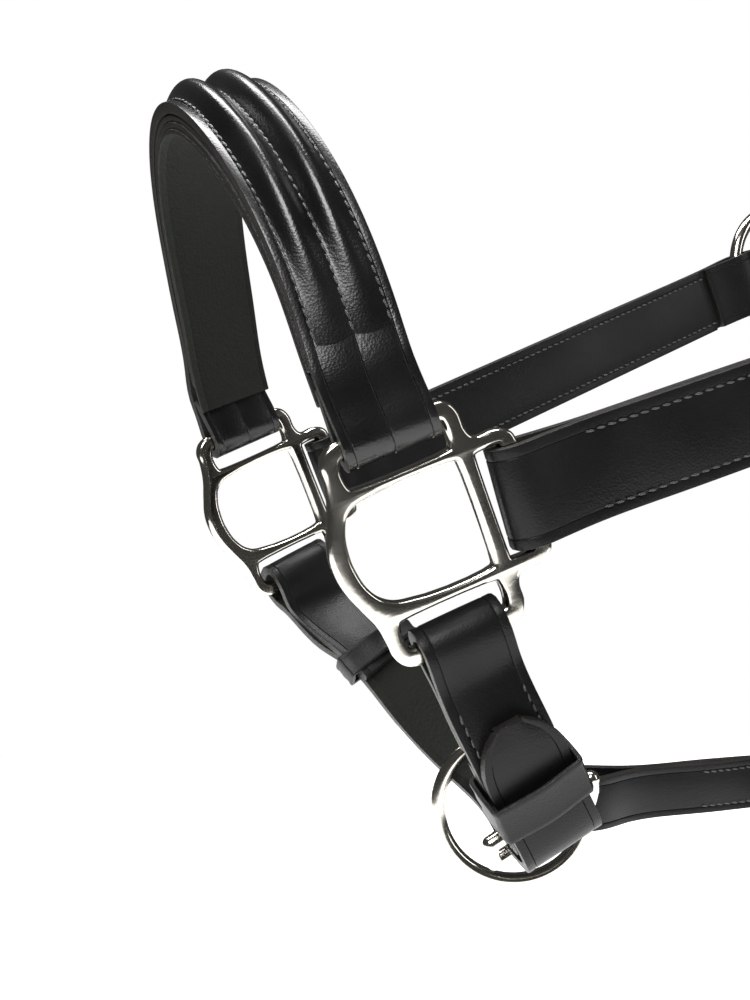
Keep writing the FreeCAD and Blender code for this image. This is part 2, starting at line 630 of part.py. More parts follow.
def snap():
    p = near_drop
    a, n = p.a, p.n
    top = Part.Arc(p.at(22.0, 0, -HOOK_HALF), p.at(22.0 - HOOK_HALF, 0, 0), p.at(22.0, 0, HOOK_HALF)).toShape()
    section = Part.Wire([Part.Circle(p.at(22.0, 0, -HOOK_HALF), a, HOOK_WIRE).toShape()])
    hook = Part.Wire([top]).makePipeShell([section], True, True)
    hook = hook.fuse(tube([p.at(22.0, 0, -HOOK_HALF), p.at(36.0, 0, -HOOK_HALF), p.at(46.0, 0, 0)], HOOK_WIRE))
    hook = hook.fuse(Part.makeCylinder(HOOK_WIRE, 4.0, p.at(22.0, 0, HOOK_HALF), a))
    hook = hook.fuse(Part.makeSphere(HOOK_WIRE, p.at(22.0, 0, -HOOK_HALF)))
    barrel = Part.makeCylinder(3.9, BARREL_END - BARREL_TOP, p.at(BARREL_TOP, 0, HOOK_HALF), a)
    web = slab(p, [(BARREL_TOP + 3.0, -2.4), (BARREL_END - 1.0, -2.4), (BARREL_END - 1.0, 2.4),
                   (BARREL_TOP + 3.0, 2.4)], -2.0, HOOK_HALF)
    socket = Part.makeCylinder(5.2, 9.0, p.at(50.0, 0, 0), a)
    body = hook.fuse([barrel, web, socket])
    bore = Part.makeCylinder(BOLT_R + RUN, BARREL_END - BARREL_TOP - 1.0, p.at(BARREL_TOP - 1.0, 0, HOOK_HALF), a)
    thumb_slot = slab(p, [(41.0, -1.9), (54.0, -1.9), (54.0, 1.9), (41.0, 1.9)], HOOK_HALF, HOOK_HALF + 8.0)
    chamber = Part.makeCylinder(SWIVEL_R + 1.2 + RUN, 3.2, p.at(52.6, 0, 0), a)
    neck = Part.makeCylinder(SWIVEL_R + RUN, 8.0, p.at(53.0, 0, 0), a)
    return body.cut([bore, thumb_slot, chamber, neck]).removeSplitter()


def bolt():
    p = near_drop
    rod = Part.makeCylinder(BOLT_R, 18.0, p.at(26.3, 0, HOOK_HALF), p.a)
    knob = Part.makeCylinder(1.5, 7.0, p.at(43.0, 0, HOOK_HALF), p.n)
    cap = Part.makeSphere(2.3, p.at(43.0, 0, HOOK_HALF + 7.0))
    return rod.fuse([knob, cap]).removeSplitter()


def swivel_eye():
    p = near_drop
    head = Part.makeCylinder(SWIVEL_R + 1.2, 2.8, p.at(52.8, 0, 0), p.a)
    post = Part.makeCylinder(SWIVEL_R, 9.0, p.at(54.0, 0, 0), p.a)
    half_eye = THROAT_W / 2.0 + 3.0
    eye = closed_wire_loop([p.at(SNAP_EYE, -half_eye), p.at(SNAP_EYE, half_eye), p.at(63.5, half_eye),
                            p.at(63.5, -half_eye)], 2.0)
    return head.fuse([post, eye]).removeSplitter()


save("snap_body", snap())
save("snap_bolt", bolt())
save("snap_swivel_eye", swivel_eye())
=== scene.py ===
# %% [markdown]
# A leather headcollar as it hangs on a horse's head. The metal and the plain solids of every strap come
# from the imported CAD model. This lesson dresses them: each strap is cut flat, creased, stitched and then
# bent along its own path, which is how a saddler works too.

# %% Load the frame
import bpy
import math
import numpy as np
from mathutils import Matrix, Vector


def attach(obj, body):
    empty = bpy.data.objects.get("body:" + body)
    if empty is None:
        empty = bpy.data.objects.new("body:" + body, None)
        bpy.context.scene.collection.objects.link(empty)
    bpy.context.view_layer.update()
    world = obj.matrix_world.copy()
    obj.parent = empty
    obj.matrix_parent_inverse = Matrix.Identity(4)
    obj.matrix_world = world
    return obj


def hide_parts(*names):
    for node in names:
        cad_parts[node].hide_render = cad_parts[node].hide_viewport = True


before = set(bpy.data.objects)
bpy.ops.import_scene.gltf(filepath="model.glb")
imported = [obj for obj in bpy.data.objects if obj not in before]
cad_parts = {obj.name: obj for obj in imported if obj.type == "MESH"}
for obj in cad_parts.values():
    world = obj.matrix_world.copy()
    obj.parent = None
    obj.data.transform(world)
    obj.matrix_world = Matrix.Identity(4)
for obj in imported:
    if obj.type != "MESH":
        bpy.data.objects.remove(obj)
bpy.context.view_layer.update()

# %% [markdown]
# Every place on the headcollar is easiest to say from midway between the two cast fittings at the ends
# of the noseband: so far back along the cheek, so far up the face, so far across. The origin is the poll.

# %% A way to say where things are
MM = 0.001
PITCH = math.radians(21.9)
ALONG = Vector((math.cos(PITCH), 0, math.sin(PITCH)))
ABOVE = Vector((-math.sin(PITCH), 0, math.cos(PITCH)))
ACROSS = Vector((0, 1, 0))
MIDWAY = (ALONG * -378.0 - ABOVE * 132.0) * MM


def spot(u, v, y):
    return MIDWAY + (ALONG * u + ABOVE * v + ACROSS * y) * MM


class Bench:
    """A flat place to work on: a one way, b the other, n out of it."""

    def __init__(self, origin, a, n, flip=False):
        self.o = Vector(origin)
        self.a = Vector(a).normalized()
        self.n = (Vector(n) - self.a * Vector(n).dot(self.a)).normalized()
        self.b = self.n.cross(self.a) * (-1 if flip else 1)

    def at(self, a, b=0.0, n=0.0):
        return self.o + (self.a * a + self.b * b + self.n * n) * MM


def side_bench(side, drop=0.0, pivot=0.0):
    yaw, lean, fall = math.radians(7.9), math.radians(1.2), math.radians(drop)
    back = ALONG * math.cos(yaw) + ACROSS * (side * math.sin(yaw))
    up = ABOVE * math.cos(lean) + ACROSS * (side * math.sin(lean))
    out = back.cross(up) if side < 0 else up.cross(back)
    turned = back * math.cos(fall) - up * math.sin(fall)
    return Bench(spot(0, 0, side * 64.4) + (back - turned) * (pivot * MM), turned, out, flip=side > 0)


near_side, far_side = side_bench(-1), side_bench(1)
print("near fitting at", tuple(round(c, 4) for c in near_side.o))

# %% [markdown]
# A strap's path is a smooth line with a width direction along it. A spline through a few points gives
# the line, and a table of lengths along it lets a flat strap be laid on without stretching.

# %% Paths for straps
def spline(points, per_span=14):
    """Natural cubic spline through the points, spaced by the distances between them."""
    p = np.array([tuple(q) for q in points])
    h = np.linalg.norm(np.diff(p, axis=0), axis=1)
    n = len(p)
    m = np.eye(n)
    r = np.zeros((n, 3))
    for i in range(1, n - 1):
        m[i, i - 1:i + 2] = h[i - 1], 2 * (h[i - 1] + h[i]), h[i]
        r[i] = 6 * ((p[i + 1] - p[i]) / h[i] - (p[i] - p[i - 1]) / h[i - 1])
    k = np.linalg.solve(m, r)
    out, where = [], []
    for i in range(n - 1):
        for j in range(per_span + (i == n - 2)):
            t = h[i] * j / per_span
            a, b = (h[i] - t), t
            out.append(k[i] * a ** 3 / (6 * h[i]) + k[i + 1] * b ** 3 / (6 * h[i])
                       + (p[i] / h[i] - k[i] * h[i] / 6) * a + (p[i + 1] / h[i] - k[i + 1] * h[i] / 6) * b)
            where.append(i + j / per_span)
    return np.array(out), np.array(where)


class Run:
    """A strap's path: points with a width direction at each. side sets which face is outward."""

    def __init__(self, stops, side=1.0):
        line, where = spline([s[0] for s in stops])
        wides = np.array([tuple(s[1]) for s in stops])
        self.p = line
        self.w = np.stack([np.interp(where, range(len(stops)), wides[:, c]) for c in range(3)], 1)
        step = np.linalg.norm(np.diff(line, axis=0), axis=1)
        self.s = np.concatenate([[0.0], np.cumsum(step)])
        self.stop_s = [float(self.s[np.argmin(abs(where - i))]) for i in range(len(stops))]
        t = np.gradient(line, axis=0)
        self.t = t / np.linalg.norm(t, axis=1)[:, None]
        self.side = side
        self.length = float(self.s[-1])

    def frame_at(self, s):
        s_in = np.clip(s, 0.0, self.length)

        def pick(table):
            return np.stack([np.interp(s_in, self.s, table[:, c]) for c in range(3)], 1)

        t = pick(self.t)
        t /= np.linalg.norm(t, axis=1)[:, None]
        p = pick(self.p) + t * (s - s_in)[:, None]
        w = pick(self.w)
        w -= t * np.sum(w * t, 1)[:, None]
        w /= np.linalg.norm(w, axis=1)[:, None]
        return p, w, np.cross(w, t) * self.side


def bend(piece, run):
    """Lays a flat piece along a run: its x is length, its y width, its z height over the path."""
    co = np.empty(len(piece.data.vertices) * 3)
    piece.data.vertices.foreach_get("co", co)
    co = co.reshape(-1, 3)
    p, w, out = run.frame_at(co[:, 0])
    placed = p + w * co[:, 1:2] + out * co[:, 2:3]
    piece.data.vertices.foreach_set("co", placed.ravel())
    piece.data.update()
    bpy.ops.object.select_all(action="DESELECT")
    piece.select_set(True)
    bpy.context.view_layer.objects.active = piece
    bpy.ops.object.mode_set(mode="EDIT")
    bpy.ops.mesh.select_all(action="SELECT")
    bpy.ops.mesh.normals_make_consistent(inside=False)
    bpy.ops.object.mode_set(mode="OBJECT")
    bpy.ops.object.shade_smooth_by_angle(angle=math.radians(38))
    return piece


# %% [markdown]
# Leather is near-black but never one flat colour. Fine pores and creases go in the bump, broad patches
# change the gloss a little, and a raw cut edge is browner and duller than the face. The pattern reads
# object coordinates, so it stays the same size on every strap.

# %% Leather, thread and metal
def new_material(name, colour, rough, metal=0.0, coat=0.0, sheen=0.0, specular=0.5):
    mat = bpy.data.materials.new(name)
    mat.use_nodes = True
    shader = mat.node_tree.nodes["Principled BSDF"]
    shader.inputs["Base Color"].default_value = (*colour, 1)
    shader.inputs["Roughness"].default_value = rough
    shader.inputs["Metallic"].default_value = metal
    shader.inputs["Specular IOR Level"].default_value = specular
    shader.inputs["Coat Weight"].default_value = coat
    shader.inputs["Coat Roughness"].default_value = 0.18
    shader.inputs["Sheen Weight"].default_value = sheen
    return mat, mat.node_tree.nodes, mat.node_tree.links, shader


def leather(name, dark, light, rough, grain, bump, coat=0.0, sheen=0.0, specular=0.4):
    mat, nodes, links, shader = new_material(name, dark, rough, coat=coat, sheen=sheen, specular=specular)
    place = nodes.new("ShaderNodeTexCoord")
    pores = nodes.new("ShaderNodeTexVoronoi")
    pores.inputs["Scale"].default_value = grain
    creases = nodes.new("ShaderNodeTexNoise")
    creases.inputs["Scale"].default_value = grain * 0.22
    creases.inputs["Detail"].default_value = 6.0
    patches = nodes.new("ShaderNodeTexNoise")
    patches.inputs["Scale"].default_value = 38.0
    patches.inputs["Detail"].default_value = 3.0
    for texture in (pores, creases, patches):
        links.new(place.outputs["Object"], texture.inputs["Vector"])
    tint = nodes.new("ShaderNodeMix")
    tint.data_type = "RGBA"
    tint.inputs["A"].default_value = (*dark, 1)
    tint.inputs["B"].default_value = (*light, 1)
    links.new(patches.outputs["Fac"], tint.inputs["Factor"])
    links.new(tint.outputs["Result"], shader.inputs["Base Color"])
    gloss = nodes.new("ShaderNodeMapRange")
    gloss.inputs["From Min"].default_value = 0.3
    gloss.inputs["From Max"].default_value = 0.7
    gloss.inputs["To Min"].default_value = rough - 0.06
    gloss.inputs["To Max"].default_value = rough + 0.09
    links.new(patches.outputs["Fac"], gloss.inputs["Value"])
    links.new(gloss.outputs["Result"], shader.inputs["Roughness"])
    relief = nodes.new("ShaderNodeMath")
    relief.operation = "ADD"
    links.new(pores.outputs["Distance"], relief.inputs[0])
    links.new(creases.outputs["Fac"], relief.inputs[1])
    ripple = nodes.new("ShaderNodeBump")
    ripple.inputs["Strength"].default_value = bump
    ripple.inputs["Distance"].default_value = 0.0003
    links.new(relief.outputs["Value"], ripple.inputs["Height"])
    links.new(ripple.outputs["Normal"], shader.inputs["Normal"])
    return mat


STRAP = leather("strap leather", (0.0035, 0.0036, 0.0038), (0.0075, 0.0077, 0.008), 0.38, 1900, 0.18,
                coat=0.03, specular=0.2)
GLOSSY = leather("roll leather", (0.003, 0.003, 0.003), (0.006, 0.006, 0.0062), 0.27, 1700, 0.15, coat=0.2)
LINING = leather("lining leather", (0.008, 0.009, 0.007), (0.016, 0.0175, 0.014), 0.7, 1100, 0.5,
                 specular=0.15)
EDGE = leather("cut edge", (0.007, 0.0065, 0.006), (0.019, 0.017, 0.014), 0.42, 2600, 0.6)
THREAD = leather("waxed thread", (0.02, 0.02, 0.02), (0.05, 0.05, 0.05), 0.3, 5200, 0.5,
                 coat=0.3, specular=0.5)


def nickel():
    mat, nodes, links, shader = new_material("polished nickel", (0.60, 0.575, 0.515), 0.13, metal=1.0)
    place = nodes.new("ShaderNodeTexCoord")
    haze = nodes.new("ShaderNodeTexNoise")
    haze.inputs["Scale"].default_value = 90.0
    haze.inputs["Detail"].default_value = 5.0
    links.new(place.outputs["Object"], haze.inputs["Vector"])
    spread = nodes.new("ShaderNodeMapRange")
    spread.inputs["To Min"].default_value = 0.07
    spread.inputs["To Max"].default_value = 0.24
    links.new(haze.outputs["Fac"], spread.inputs["Value"])
    links.new(spread.outputs["Result"], shader.inputs["Roughness"])
    swirl = nodes.new("ShaderNodeTexNoise")
    swirl.inputs["Scale"].default_value = 420.0
    swirl.inputs["Detail"].default_value = 4.0
    links.new(place.outputs["Object"], swirl.inputs["Vector"])
    ripple = nodes.new("ShaderNodeBump")
    ripple.inputs["Strength"].default_value = 0.12
    ripple.inputs["Distance"].default_value = 0.0002
    links.new(swirl.outputs["Fac"], ripple.inputs["Height"])
    links.new(ripple.outputs["Normal"], shader.inputs["Normal"])
    return mat


NICKEL = nickel()
print("materials:", [m.name for m in (STRAP, GLOSSY, LINING, EDGE, THREAD, NICKEL)])

# %% [markdown]
# A strap starts as a flat blank. Cutting and creasing are easy while it is flat, so both are done first, and
# bending it along its path comes last. Solidify gives the blank its thickness with a separate finish for the
# back and the cut edge, and a small bevel rounds the edge as an edge tool does.

# %% Cutting and creasing a strap
THICK = 2.94


def only(piece):
    bpy.ops.object.select_all(action="DESELECT")
    piece.select_set(True)
    bpy.context.view_layer.objects.active = piece
    return piece


def grab(piece, test):
    """Edit mode with only the vertices selected whose place passes the test."""
    bpy.ops.object.mode_set(mode="EDIT")
    bpy.ops.mesh.select_all(action="DESELECT")
    bpy.ops.object.mode_set(mode="OBJECT")
    for vertex in piece.data.vertices:
        vertex.select = bool(test(vertex.co / MM))
    bpy.ops.object.mode_set(mode="EDIT")


def finish_with(piece, kind, **values):
    """Adds a modifier, sets it and applies it."""
    only(piece)
    modifier = piece.modifiers.new(kind.title(), kind)
    for key, value in values.items():
        setattr(modifier, key, value)
    bpy.ops.object.modifier_apply(modifier=modifier.name)


def blank(name, start, stop, width, creases=(), crease_depth=0.35, step=2.4, columns=2):
    """Flat blank along x, in millimetres, with creases pressed at the given distances from its middle."""
    length = stop - start
    bpy.ops.object.select_all(action="DESELECT")
    bpy.ops.mesh.primitive_grid_add(x_subdivisions=max(2, round(length / step)),
                                    y_subdivisions=columns, size=1)
    piece = bpy.context.object
    piece.name = piece.data.name = name
    bpy.ops.object.mode_set(mode="EDIT")
    bpy.ops.transform.resize(value=(length * MM, width * MM, 1))
    bpy.ops.transform.translate(value=((start + length / 2) * MM, 0, 0))
    for crease in creases:
        for side in (-0.55, 0.0, 0.55):
            bpy.ops.mesh.select_all(action="SELECT")
            bpy.ops.mesh.bisect(plane_co=(0, (crease + side) * MM, 0), plane_no=(0, 1, 0))
    if creases:
        grab(piece, lambda co: min(abs(co.y - c) for c in creases) < 0.1)
        bpy.ops.transform.translate(value=(0, 0, -crease_depth * MM))
    bpy.ops.object.mode_set(mode="OBJECT")
    return piece


def point_tip(piece, tip, reach, blunt=0.3):
    """Rounds the end of a blank to a blunt point at x = tip, over a length of reach."""
    way = 1.0 if reach > 0 else -1.0
    only(piece)
    bpy.ops.object.mode_set(mode="EDIT")
    for share in (0.04, 0.1, 0.18, 0.28, 0.4, 0.55, 0.75):
        bpy.ops.mesh.select_all(action="SELECT")
        bpy.ops.mesh.bisect(plane_co=((tip - reach * share) * MM, 0, 0), plane_no=(1, 0, 0))
    bpy.ops.object.mode_set(mode="OBJECT")
    for vertex in piece.data.vertices:
        q = ((vertex.co.x / MM - tip) * way + abs(reach)) / abs(reach)
        if q > 0:
            vertex.co.y *= max(blunt, math.sqrt(max(0.0, 1.0 - min(q, 1.0) ** 2.2)))


def cut_slot(piece, start, stop, half):
    """Cuts a slot through a flat blank."""
    only(piece)
    bpy.ops.object.mode_set(mode="EDIT")
    for place, way in (((start, 0), (1, 0)), ((stop, 0), (1, 0)), ((0, half), (0, 1)), ((0, -half), (0, 1))):
        bpy.ops.mesh.select_all(action="SELECT")
        bpy.ops.mesh.bisect(plane_co=(place[0] * MM, place[1] * MM, 0), plane_no=(*way, 0))
    bpy.ops.mesh.select_all(action="DESELECT")
    bpy.ops.object.mode_set(mode="OBJECT")
    for face in piece.data.polygons:
        middle = face.center / MM
        face.select = start < middle.x < stop and abs(middle.y) < half
    bpy.ops.object.mode_set(mode="EDIT")
    bpy.ops.mesh.select_mode(type="FACE")
    bpy.ops.mesh.delete(type="FACE")
    bpy.ops.mesh.select_mode(type="VERT")
    bpy.ops.object.mode_set(mode="OBJECT")


def make_up(piece, run, thick=THICK, edge=0.75, finishes=(STRAP, LINING, EDGE), spread=None):
    """Thickens a blank, rounds its edges, widens it where it has to and bends it along its run."""
    for finish in finishes:
        piece.data.materials.append(finish)
    finish_with(piece, "SOLIDIFY", thickness=thick * MM, offset=0.0, material_offset=1, material_offset_rim=2)
    finish_with(piece, "BEVEL", width=edge * MM, segments=3, limit_method="ANGLE",
                angle_limit=math.radians(50))
    if spread:
        for vertex in piece.data.vertices:
            vertex.co.y *= spread(vertex.co.x)
    return bend(piece, run)


def stitching(name, run, rows, start, stop, height, pitch=2.9, spread=None):
    """Rows of saddle stitches standing just proud of the leather, at height over the path."""
    made = []
    for row in rows:
        bpy.ops.object.select_all(action="DESELECT")
        bpy.ops.mesh.primitive_uv_sphere_add(segments=8, ring_count=5, radius=0.5)
        stitch = bpy.context.object
        bpy.ops.object.mode_set(mode="EDIT")
        bpy.ops.transform.resize(value=(2.35 * MM, 0.72 * MM, 0.62 * MM))
        bpy.ops.transform.rotate(value=math.radians(9), orient_axis="Z", center_override=(0, 0, 0))
        bpy.ops.transform.translate(value=((start + pitch / 2) * MM, row * MM, height * MM))
        bpy.ops.object.mode_set(mode="OBJECT")
        finish_with(stitch, "ARRAY", count=max(1, int((stop - start) / pitch)), use_relative_offset=False,
                    use_constant_offset=True, constant_offset_displace=(pitch * MM, 0, 0))
        made.append(stitch)
    bpy.ops.object.select_all(action="DESELECT")
    for stitch in made:
        stitch.select_set(True)
    bpy.context.view_layer.objects.active = made[0]
    if len(made) > 1:
        bpy.ops.object.join()
    piece = bpy.context.object
    piece.name = piece.data.name = name
    piece.data.materials.clear()
    piece.data.materials.append(THREAD)
    if spread:
        for vertex in piece.data.vertices:
            vertex.co.y *= spread(vertex.co.x)
    return bend(piece, run)


def fit(piece, body="headcollar", stands_for=()):
    """Says which body a finished piece rides on, and which plain CAD solids it stands for."""
    if stands_for:
        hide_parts(*stands_for)
    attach(piece, body)
    print(piece.name, len(piece.data.polygons), "faces")
    return piece


# %% [markdown]
# Where a strap turns round a bar it makes a small open eye and then closes to two layers. These are the
# points of that turn in its own flat bench, from the layer next to the head round to the outer one.

# %% The turn round a bar
def turn_round(bench, bar, toward, hole_half, hole_long, layer=3.0, taper=14.0):
    sign = 1.0 if toward > 0 else -1.0
    back, front = bar - sign * hole_long / 2, bar + sign * hole_long / 2
    r, flat = hole_half + layer / 2, layer / 2 + 0.04
    inner = [(front + sign * taper, -flat), (front + sign * taper * 0.6, -(flat + (r - flat) * 0.3)),
             (front, -r), (back + sign * 0.2, -r * 0.95), (back - sign * layer * 0.42, -r * 0.52)]
    turn = inner + [(back - sign * layer / 2, 0.0)] + [(a, -n) for a, n in reversed(inner)]
    return [bench(a, n) for a, n in turn]


# %% [markdown]
# ## The noseband
# Its main strap goes over the nose and folds round the top arm of each fitting. Under it is a soft
# lining, and over it two rolls raised over cord, with a row of stitching each side and one between.

# %% Path of the noseband
FITTING_YAW = math.radians(7.9)
NOSE_HALF = [(-3.2, 33.0, 65.1), (-2.6, 42.0, 63.5), (0.0, 61.5, 58.0), (2.2, 83.0, 48.0), (3.4, 102.5, 31.0),
             (4.0, 113.2, 12.0)]
nose_points = [spot(u, v, -y) for u, v, y in NOSE_HALF] + [spot(u, v, y) for u, v, y in reversed(NOSE_HALF)]


def shares(points):
    """How far along its chords each point is, from 0 to 1."""
    steps = [0.0] + [(b - a).length for a, b in zip(points[:-1], points[1:])]
    total = np.cumsum(steps)
    return list(total / total[-1])


def nose_across(t):
    yaw = FITTING_YAW * math.cos(math.pi * t)
    tip = math.radians(2.0) * math.sin(math.pi * t)
    level = ALONG * math.cos(tip) - ABOVE * math.sin(tip)
    return level * math.cos(yaw) - ACROSS * math.sin(yaw)


nose_run = Run([(p, nose_across(t)) for p, t in zip(nose_points, shares(nose_points))])
NOSE_LONG = nose_run.length / MM


def along_run(run, places, rise):
    """Stops for a new run that follows another at some rise above it."""
    p, w, out = run.frame_at(np.array(places) * MM)
    return [(Vector(a + o * rise * MM), Vector(b)) for a, b, o in zip(p, w, out)]


def arm_turn(bench, way):
    """The noseband's fold round a fitting's top arm, inner layer first."""
    turned = turn_round(lambda a, n: bench.at(-3.2, a, n), 25.8, 1, 2.55, 5.2, taper=12.0)
    return [(p, nose_across(0 if way < 0 else 1)) for p in [bench.at(-3.2, 47, -1.7)] + turned]


middle = along_run(nose_run, np.linspace(16, NOSE_LONG - 16, 12), 1.5)
near_fold, far_fold = arm_turn(near_side, -1), arm_turn(far_side, 1)
fold_run = Run(near_fold + middle + far_fold[::-1])
FOLD_IN = (fold_run.length - nose_run.length) / MM / 2
print("noseband", round(NOSE_LONG), "mm, folded", round(fold_run.length / MM), "mm")


# %% Main strap, filler and lining
NOSE_W = 23.0


def nose_spread(offset=0.0):
    """Widening of the noseband towards the middle of the nose."""
    def spread(x):
        share = min(1.0, max(0.0, (x / MM - offset) / NOSE_LONG))
        return 1.0 + (1.0 / NOSE_W) * math.sin(math.pi * share) ** 2
    return spread


main = blank("noseband_main_strap", 7, fold_run.length / MM - 7, NOSE_W, (-9.4, 0.0, 9.4))
fit(make_up(main, fold_run, finishes=(GLOSSY, LINING, EDGE), spread=nose_spread(FOLD_IN)),
    stands_for=("noseband_strap",))


def nose_layer(name, height, width, thick, edge, creases, finishes, end=0.05):
    """A layer under the main strap, its middle at height over the path, stopping at a share end."""
    run = Run(along_run(nose_run, np.linspace(0, NOSE_LONG, 16), height))
    long = run.length / MM
    layer = blank(name, long * end, long * (1 - end), width, creases, 0.3)
    return make_up(layer, run, thick, edge, finishes, nose_spread())


fit(nose_layer("noseband_upper_filler", -1.1, 22.8, 1.55, 0.45, (), (EDGE, LINING, EDGE)))
fit(nose_layer("noseband_lower_filler", -2.8, 23.6, 1.55, 0.45, (), (EDGE, LINING, EDGE)))
fit(nose_layer("noseband_lining_layer", -4.45, 24.4, 1.6, 0.6, (-10.2, 10.2), (LINING, LINING, EDGE), 0.015),
    stands_for=("noseband_lining",))

# %% [markdown]
# Each roll is leather pulled tight over a cord, so its sides run smoothly into the flat of the strap and
# its ends fade away near the fittings. A blank with many narrow columns is lifted into that ridge before
# it is bent.

# %% The two rolls
ROLL_PLACE = 0.195          # middle of a roll, and half its width, as a share of the strap
ROLL_RISE = 3.9
ROLL_FADE = 0.3


def roll(name, offset, stands_for):
    first, last = NOSE_LONG * 0.035, NOSE_LONG * 0.965
    half = NOSE_W * ROLL_PLACE
    piece = blank(name, first, last, 2 * half, columns=18)
    for vertex in piece.data.vertices:
        share = (vertex.co.x / MM - first) / (last - first)
        fade = min(1.0, min(share, 1.0 - share) / ROLL_FADE)
        rise = ROLL_RISE * fade * fade * (3.0 - 2.0 * fade)
        y = vertex.co.y / MM
        vertex.co.z = rise * math.cos(math.pi / 2 * y / half) ** 1.5 * MM if abs(y) < half * 0.999 else 0.0
        vertex.co.z += 2.72 * MM
        vertex.co.y += NOSE_W * offset * MM
    make_up(piece, nose_run, 0.6, 0.2, (GLOSSY, LINING, GLOSSY), nose_spread())
    return fit(piece, stands_for=(stands_for,))


roll("noseband_front_piping", -ROLL_PLACE, "noseband_front_roll")
roll("noseband_rear_piping", ROLL_PLACE, "noseband_rear_roll")
for name, row in (("noseband_front_stitches", -9.0), ("noseband_valley_stitches", 0.0),
                  ("noseband_rear_stitches", 9.0)):
    fit(stitching(name, nose_run, (row,), 16, NOSE_LONG - 16, 2.98, 2.7, spread=nose_spread()))

# %% [markdown]
# ## The cheekpieces
# Each is one long strap doubled on itself, round the fitting at one end and the throat ring at the
# other, with its two ends butted together on the inside. Two rows of stitching hold the layers.

# %% Cheekpieces
CHEEK_W, CHEEK_BAR, CHEEK_LEN = 24.6, 22.8, 250.0
near_cheek = side_bench(-1, 3.8, CHEEK_BAR)
far_cheek = side_bench(1, 0.5, CHEEK_BAR)
RING_SAG = 24.0 - math.sqrt(24.0 ** 2 - (CHEEK_W / 2) ** 2)
RING_SIDE = 24.0 - RING_SAG / 2
SPLICE = 205.0


def cheek_run(bench):
    def place(a, n):
        return bench.at(a, 0, n)
    ring_end = turn_round(place, CHEEK_LEN - RING_SIDE, -1, 2.8, RING_SAG + 6.8)
    bar_end = turn_round(place, CHEEK_BAR, 1, 2.55, 6.8)
    flat = 1.54
    points = ring_end + [place(a, flat) for a in (170, 140, 110, 80, 60)] + bar_end[::-1]
    points += [place(a, -flat) for a in (60, 90, 120, 150, 180, SPLICE - 0.4)]
    return Run([(p, bench.b) for p in points])


for name, bench in (("near", near_cheek), ("far", far_cheek)):
    run = cheek_run(bench)
    turned = 1.0 if (Vector(run.frame_at(np.array([run.length / 2]))[2][0])).dot(bench.n) > 0 else -1.0
    run.side *= turned
    piece = blank(name + "_cheek_strap", 0.0, run.length / MM, CHEEK_W, (-9.6, 9.6))
    fit(make_up(piece, run), stands_for=(name + "_cheekpiece",))
    seam = Run([(bench.at(a, 0, 3.0), bench.b) for a in (40, 90, 140, 190, 206)])
    if Vector(seam.frame_at(np.array([0.05]))[2][0]).dot(bench.n) < 0:
        seam.side = -1.0
    fit(stitching(name + "_cheek_stitches", seam, (-9.3, 9.3), 0, 166, 0.0))
    seam = Run([(bench.at(a, 0, -3.0), bench.b) for a in (40, 90, 140, 190, 206)])
    fit(stitching(name + "_cheek_inner_stitches", seam, (-9.3, 9.3), 0, 166, 0.0))

# %% [markdown]
# ## The chin straps
# The near strap is short and doubled: round the near fitting's bottom arm, then round the buckle's heel
# bar, which comes through a slot for the tongue. The far strap is the billet. It folds round the far
# fitting, goes through the chin ring and up through the buckle, and lies over the near strap.

# %% Near chin strap
CHIN_W = 21.5


def strap_bench(bar, toward, bar_way, outward):
    made = Bench(bar, toward - bar, outward)
    if made.b.dot(bar_way) < 0:
        made.b = -made.b
    return made


def outward(run, x, way):
    """Turns a run's outer side to face the way given, judged at x millimetres along it."""
    if Vector(run.frame_at(np.array([x * MM]))[2][0]).dot(Vector(way)) < 0:
        run.side *= -1
    return run


near_bar, far_bar = near_side.at(-3.2, -25.8), far_side.at(-3.2, -25.8)
A_PATH = [near_bar, spot(-3.2, -40, -66), spot(-2.6, -52, -67.6), spot(-1, -64, -65.6), spot(1.5, -77, -61)]
near_start = strap_bench(near_bar, A_PATH[1], near_side.a, near_side.n)
heel = strap_bench(A_PATH[4], A_PATH[4] * 2 - A_PATH[3], near_side.a, near_side.n)


def chin_across(t):
    return near_start.b * (1 - t) + heel.b * t


mid_points = [near_start.at(12), near_start.at(17), A_PATH[2], A_PATH[3], heel.at(-13.5), heel.at(-10)]
mid_run = outward(Run([(p, chin_across(t)) for p, t in zip(mid_points, shares(mid_points))]), 20, near_side.n)
MID_LONG = mid_run.length / MM
top_turn = turn_round(lambda a, n: near_start.at(a, 0, n), 0.0, 1, 3.05, 6.0, taper=8.0)
low_turn = turn_round(lambda a, n: heel.at(a, 0, n), 0.0, -1, 2.5, 5.0, layer=2.4, taper=7.0)
outer = along_run(mid_run, np.linspace(6, MID_LONG - 5, 5), 1.54)
inner = along_run(mid_run, np.linspace(8, MID_LONG - 9, 4), -1.54)
stops = [inner[1]] + [inner[0]] + [(p, near_start.b) for p in top_turn] + outer
stops += [(p, heel.b) for p in low_turn[::-1]] + inner[::-1][:2]
near_chin_run = outward(Run(stops), Run(stops).length / MM * 0.5, near_side.n)
CHIN_LONG = near_chin_run.length / MM
heel_at = near_chin_run.stop_s[2 + len(top_turn) + len(outer) + len(low_turn) // 2] / MM
piece = blank("near_chin_strap_folded", 0, CHIN_LONG, CHIN_W, (-8.4, 8.4))
cut_slot(piece, heel_at - 12, heel_at + 12, 2.7)
fit(make_up(piece, near_chin_run, 2.9), stands_for=("near_chin_strap",))
face = Run(along_run(mid_run, np.linspace(0, MID_LONG, 8), 3.0), mid_run.side)
fit(stitching("near_chin_stitches", face, (-8.4, 8.4), 4, MID_LONG - 6, 0.0))
